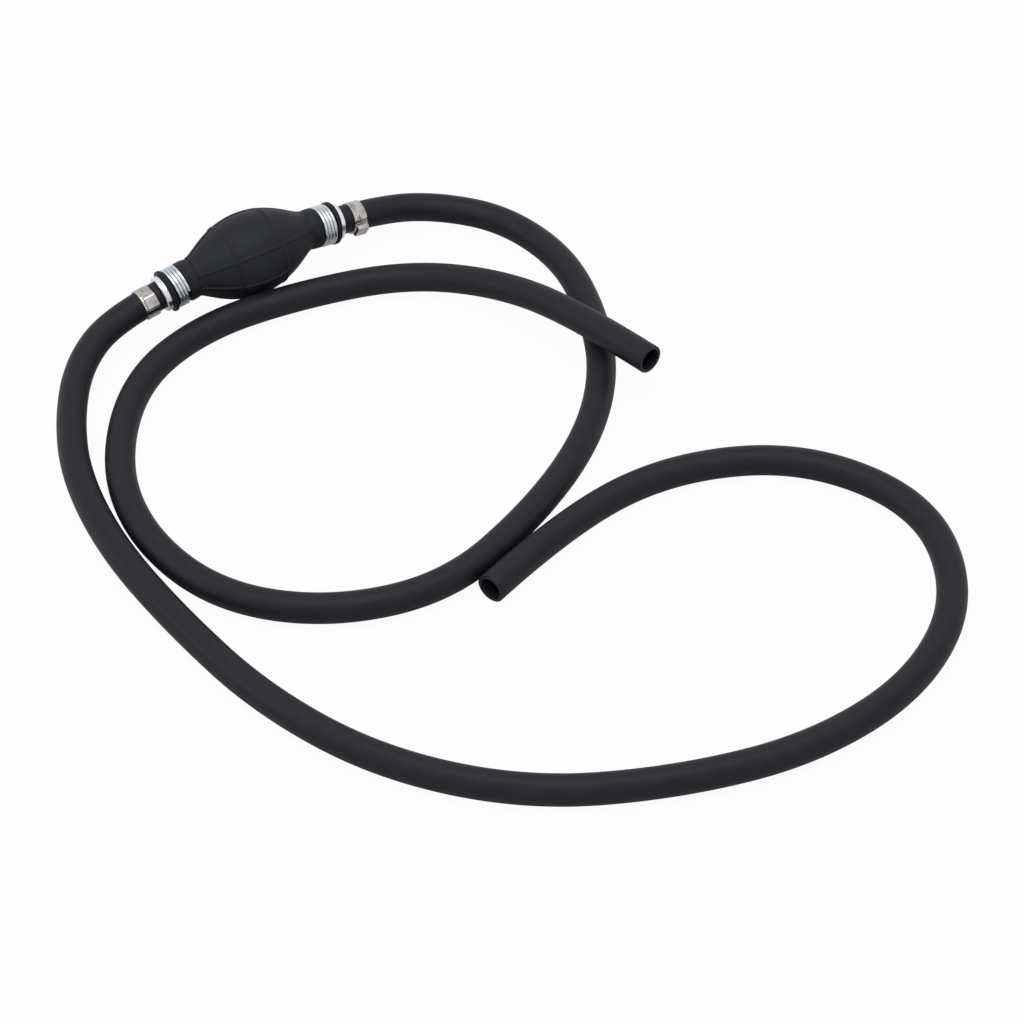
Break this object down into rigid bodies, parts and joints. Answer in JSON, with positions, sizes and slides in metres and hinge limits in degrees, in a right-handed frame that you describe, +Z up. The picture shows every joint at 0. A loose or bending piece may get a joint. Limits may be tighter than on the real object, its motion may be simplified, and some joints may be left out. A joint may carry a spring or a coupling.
{
  "type": "siphon bulb pump",
  "caption": "Hand siphon pump: a ribbed black rubber squeeze bulb with a check valve in each neck, held by wire and ear clamps, and an open-ended black hose on each side.",
  "frame": {"origin": "on the floor under the middle of the bulb", "axes": "+X along the bulb from the inlet neck to the outlet neck, the way the liquid flows; +Z up; the hoses lie towards -Y"},
  "size_m": [0.3279, 0.4199, 0.041],
  "materials": {
    "bulb_rubber": "matte moulded black rubber",
    "hose_rubber": "smooth satin black rubber",
    "stainless_strip": "rolled stainless strip, satin",
    "zinc_wire": "bright zinc plate",
    "bright_alloy": "turned, bright",
    "turned_brass": "turned",
    "seal_rubber": "smooth",
    "spring_steel": "drawn wire",
    "guide_plastic": "moulded, natural"
  },
  "bodies": {
    "root": {"squeeze_bulb": "bulb_rubber", "inlet_hose": "hose_rubber", "inlet_ear_clamp": "stainless_strip", "inlet_wire_clamp": "zinc_wire", "inlet_valve_body": "bright_alloy", "inlet_seat_ring": "turned_brass", "inlet_valve_spring": "spring_steel", "inlet_valve_guide": "guide_plastic", "inlet_circlip": "spring_steel", "outlet_hose": "hose_rubber", "outlet_ear_clamp": "stainless_strip", "outlet_wire_clamp": "zinc_wire", "outlet_valve_body": "bright_alloy", "outlet_seat_ring": "turned_brass", "outlet_valve_spring": "spring_steel", "outlet_valve_guide": "guide_plastic", "outlet_circlip": "spring_steel"},
    "inlet_poppet": {"inlet_poppet": "turned_brass", "inlet_poppet_seal": "seal_rubber"},
    "outlet_poppet": {"outlet_poppet": "turned_brass", "outlet_poppet_seal": "seal_rubber"}
  },
  "joints": [
    {"name": "inlet_valve_lift", "type": "slide", "parent": "root", "child": "inlet_poppet", "axis": [0.9903, 0, 0.1392], "range_m": [0, 0.002], "stiffness_N_per_m": 75, "springref_m": -0.0015, "deforming": ["inlet_valve_spring"]},
    {"name": "outlet_valve_lift", "type": "slide", "parent": "root", "child": "outlet_poppet", "axis": [0.9903, 0, -0.1392], "range_m": [0, 0.002], "stiffness_N_per_m": 75, "springref_m": -0.0015, "deforming": ["outlet_valve_spring", "squeeze_bulb"]}
  ]
}
